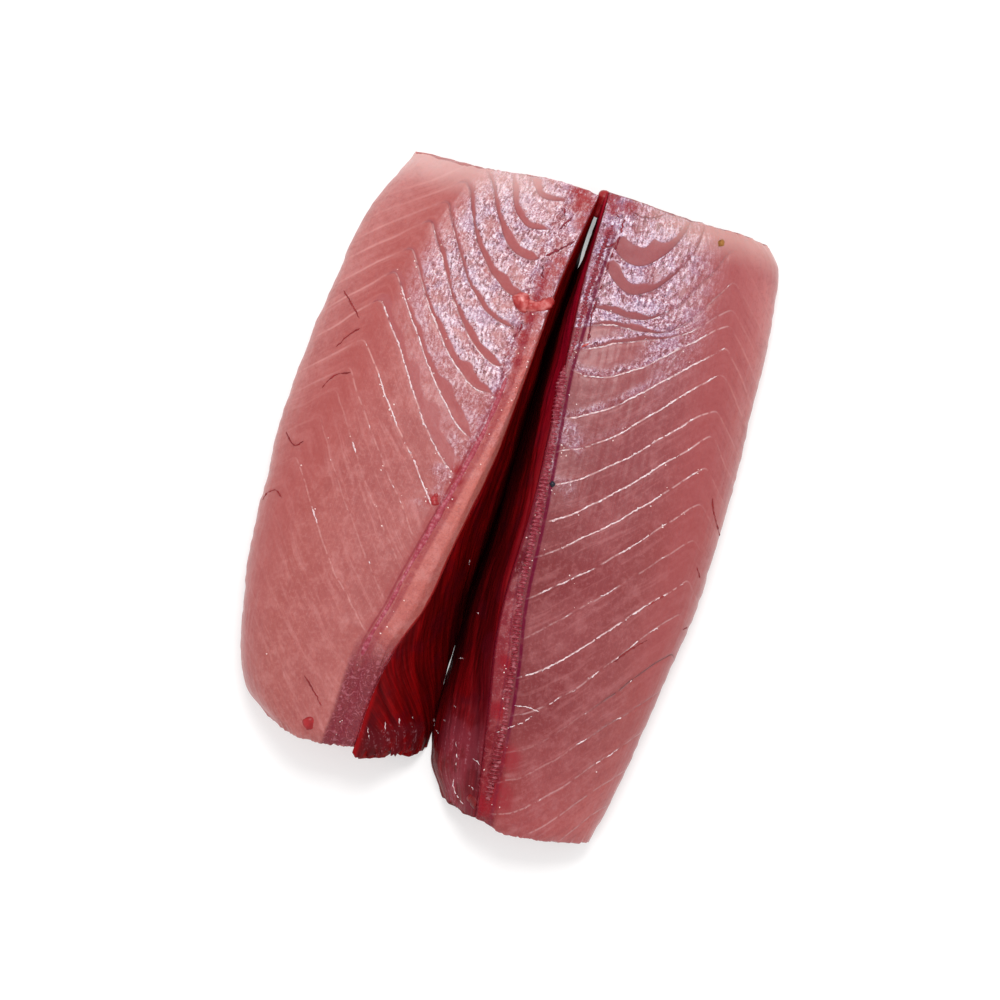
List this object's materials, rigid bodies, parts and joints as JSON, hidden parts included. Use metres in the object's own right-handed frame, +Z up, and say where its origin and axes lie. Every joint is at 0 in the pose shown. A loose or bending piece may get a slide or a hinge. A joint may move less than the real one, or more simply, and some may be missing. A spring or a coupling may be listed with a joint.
{
  "type": "raw tuna fillet section in two loins",
  "caption": "Raw, skinned tuna fillet section lying skin side up, parted along the dark blood line into loins that still lie together.",
  "frame": {"origin": "on the surface that the fillet lies on, below the middle of its bounding box", "axes": "+Z up out of the skinned side, +Y towards the fish's tail along the longest side, +X across the two loins to the right"},
  "size_m": [0.1959, 0.2504, 0.038],
  "materials": {
    "pale_meat": "raw pale tuna loin, moist and glossy, with thin white septa between its muscle segments; gloss_plastic stands in for wet flesh",
    "dark_muscle": "raw dark tuna muscle, wet, deep blood red and fibrous; gloss_plastic stands in for wet flesh"
  },
  "bodies": {
    "root": {"left_loin": "pale_meat", "left_dark_muscle": "dark_muscle", "right_loin": "pale_meat", "right_dark_muscle": "dark_muscle"}
  },
  "joints": []
}
